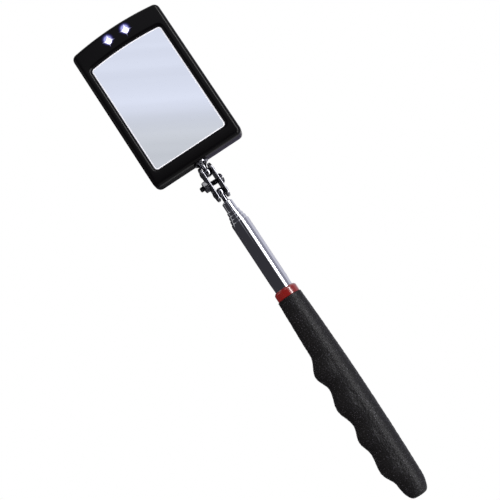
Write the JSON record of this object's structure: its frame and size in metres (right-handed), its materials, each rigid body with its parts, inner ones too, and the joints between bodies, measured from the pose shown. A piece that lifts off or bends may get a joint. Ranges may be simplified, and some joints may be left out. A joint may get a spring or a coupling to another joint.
{
  "type": "telescoping inspection mirror",
  "caption": "Lit rectangular inspection mirror on a double ball joint, carried by a telescoping chromed pole with a cushioned finger grip.",
  "frame": {"origin": "centre of the grip's flat butt face, on the pole's axis", "axes": "+Y along the pole from the butt to the head, +Z out of the mirror's face, +X to the right with the head at the top; the finger grooves face -X"},
  "size_m": [0.054, 0.2871, 0.0166],
  "materials": {
    "cushion": "pebbled soft vinyl, low sheen",
    "ring": "glossy red",
    "tube": "bright chrome plate",
    "joint": "dark bright nickel plate",
    "bush": "plain spring brass",
    "casing": "semi-gloss black moulding",
    "inner_plastic": "matt dark grey moulding",
    "mirror": "silvered float glass",
    "pad": "closed-cell foam tape",
    "led": "clear lens, lit cool white",
    "board": "green solder mask",
    "resistor": "tan lacquer",
    "cell": "plain nickel-plated steel",
    "fastener": "black zinc plate"
  },
  "bodies": {
    "handle": {"cushion_grip": "cushion", "ferrule_ring": "ring", "outer_tube": "tube", "tube_end_plug": "inner_plastic"},
    "section_2": {"tube_section_2": "tube", "friction_bush_2": "bush"},
    "section_3": {"tube_section_3": "tube", "friction_bush_3": "bush"},
    "section_4": {"tube_section_4": "tube", "friction_bush_4": "bush"},
    "section_5": {"tube_section_5": "tube", "friction_bush_5": "bush", "tip_plug": "joint"},
    "lower_ball": {"lower_ball_stud": "joint"},
    "clamp": {"clamp_plate_left": "joint", "clamp_plate_right": "joint", "clamp_screw": "joint", "clamp_nut": "joint"},
    "upper_ball": {"upper_ball_stud": "joint"},
    "head": {"front_bezel": "casing", "rear_shell": "casing", "mirror_glass": "mirror", "mirror_pad": "pad", "led_left": "led", "led_right": "led", "led_board": "board", "led_resistor": "resistor", "coin_cell_1": "cell", "coin_cell_2": "cell", "contact_spring": "bush", "contact_strip": "bush", "battery_cover": "casing", "battery_cover_screw": "fastener", "switch_body": "inner_plastic", "case_screw_1": "fastener", "case_screw_2": "fastener", "case_screw_3": "fastener", "case_screw_4": "fastener"},
    "switch": {"switch_knob": "inner_plastic"}
  },
  "joints": [
    {"name": "section_2_slide", "type": "slide", "parent": "handle", "child": "section_2", "axis": [0, 1, 0], "range_m": [0, 0.1463]},
    {"name": "section_3_slide", "type": "slide", "parent": "section_2", "child": "section_3", "axis": [0, 1, 0], "range_m": [0, 0.1423]},
    {"name": "section_4_slide", "type": "slide", "parent": "section_3", "child": "section_4", "axis": [0, 1, 0], "range_m": [0, 0.1373]},
    {"name": "section_5_slide", "type": "slide", "parent": "section_4", "child": "section_5", "axis": [0, 1, 0], "range_m": [0, 0.1333]},
    {"name": "lower_ball_twist", "type": "hinge", "parent": "section_5", "child": "lower_ball", "pos_m": [0, 0.181, 0], "axis": [0, 1, 0], "continuous": true},
    {"name": "clamp_tilt", "type": "hinge", "parent": "lower_ball", "child": "clamp", "pos_m": [0, 0.181, 0], "axis": [0.9848, 0, -0.1736], "range_deg": [-90, 90]},
    {"name": "head_tilt", "type": "hinge", "parent": "clamp", "child": "upper_ball", "pos_m": [0, 0.1936, 0], "axis": [0.9848, 0, -0.1736], "range_deg": [-85, 85]},
    {"name": "head_twist", "type": "hinge", "parent": "upper_ball", "child": "head", "pos_m": [0, 0.1936, 0], "axis": [0, 1, 0], "range_deg": [-180, 180]},
    {"name": "switch_slide", "type": "slide", "parent": "head", "child": "switch", "axis": [1, 0, 0], "range_m": [0, 0.002]}
  ]
}
